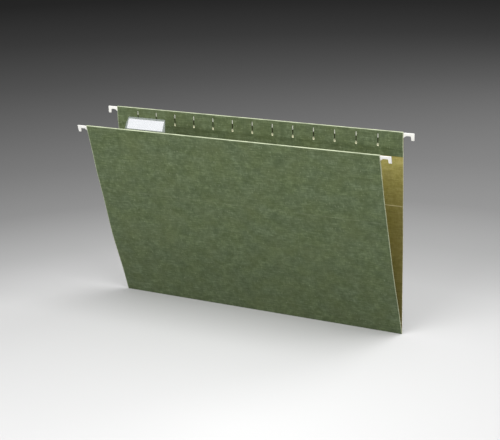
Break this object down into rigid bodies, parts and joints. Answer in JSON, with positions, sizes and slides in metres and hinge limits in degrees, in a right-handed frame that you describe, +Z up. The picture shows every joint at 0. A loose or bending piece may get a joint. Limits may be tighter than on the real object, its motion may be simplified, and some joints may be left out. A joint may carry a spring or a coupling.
{
  "type": "hanging file folder",
  "caption": "Legal-size green hanging file folder that opens at scored creases, with hooked steel rods in slotted top hems and a clear tab whose card slides out.",
  "frame": {"origin": "midway between the seats of the back rod's two hooks, where they sit on the rails", "axes": "+X to the right along the rods as the reader faces the tab, +Y from the front half to the back, +Z up"},
  "size_m": [0.4006, 0.0682, 0.2421],
  "materials": {
    "green_paper": "matte",
    "steel": "satin",
    "white_coat": "satin",
    "clear_plastic": "clear",
    "white_card": "matte",
    "adhesive": "matte"
  },
  "bodies": {
    "back_top": {"back_top_panel": "green_paper", "back_top_fold": "green_paper", "back_flap": "green_paper", "back_flap_glue": "adhesive", "back_rod": "steel", "back_left_hook_coat": "white_coat", "back_right_hook_coat": "white_coat"},
    "back_middle": {"back_panel": "green_paper"},
    "back_bottom": {"back_bottom_strip": "green_paper"},
    "front_bottom": {"front_bottom_strip": "green_paper"},
    "front_strip": {"front_swing_strip": "green_paper"},
    "front_middle": {"front_panel": "green_paper"},
    "front_top": {"front_top_panel": "green_paper", "front_top_fold": "green_paper", "front_flap": "green_paper", "front_flap_glue": "adhesive", "front_rod": "steel", "front_left_hook_coat": "white_coat", "front_right_hook_coat": "white_coat", "tab": "clear_plastic"},
    "card": {"tab_card": "white_card"}
  },
  "joints": [
    {"name": "back_bend", "type": "hinge", "parent": "back_top", "child": "back_middle", "pos_m": [0, 0.00075, -0.0813], "axis": [1, 0, 0], "range_deg": [0, 60]},
    {"name": "back_spread", "type": "hinge", "parent": "back_middle", "child": "back_bottom", "pos_m": [0, 0.00045, -0.221], "axis": [-1, 0, 0], "range_deg": [0, 80]},
    {"name": "bottom_fold", "type": "hinge", "parent": "back_bottom", "child": "front_bottom", "pos_m": [0, 0.00045, -0.2337], "axis": [1, 0, 0], "range_deg": [0, 160]},
    {"name": "front_spread", "type": "hinge", "parent": "front_bottom", "child": "front_strip", "pos_m": [0, -0.00337, -0.22159], "axis": [-1, 0, 0], "range_deg": [0, 80]},
    {"name": "front_swing", "type": "hinge", "parent": "front_strip", "child": "front_middle", "pos_m": [0, -0.00542, -0.21558], "axis": [1, 0, 0], "range_deg": [-16.8, 100]},
    {"name": "front_bend", "type": "hinge", "parent": "front_middle", "child": "front_top", "pos_m": [0, -0.04566, -0.08844], "axis": [1, 0, 0], "range_deg": [0, 60]},
    {"name": "card_slide", "type": "slide", "parent": "front_top", "child": "card", "axis": [1, 0, 0], "range_m": [-0.054, 0.054]}
  ],
  "couplings": [
    {"joint": "bottom_fold", "follows": "back_spread", "ratio": 2},
    {"joint": "front_spread", "follows": "back_spread", "ratio": 1}
  ]
}
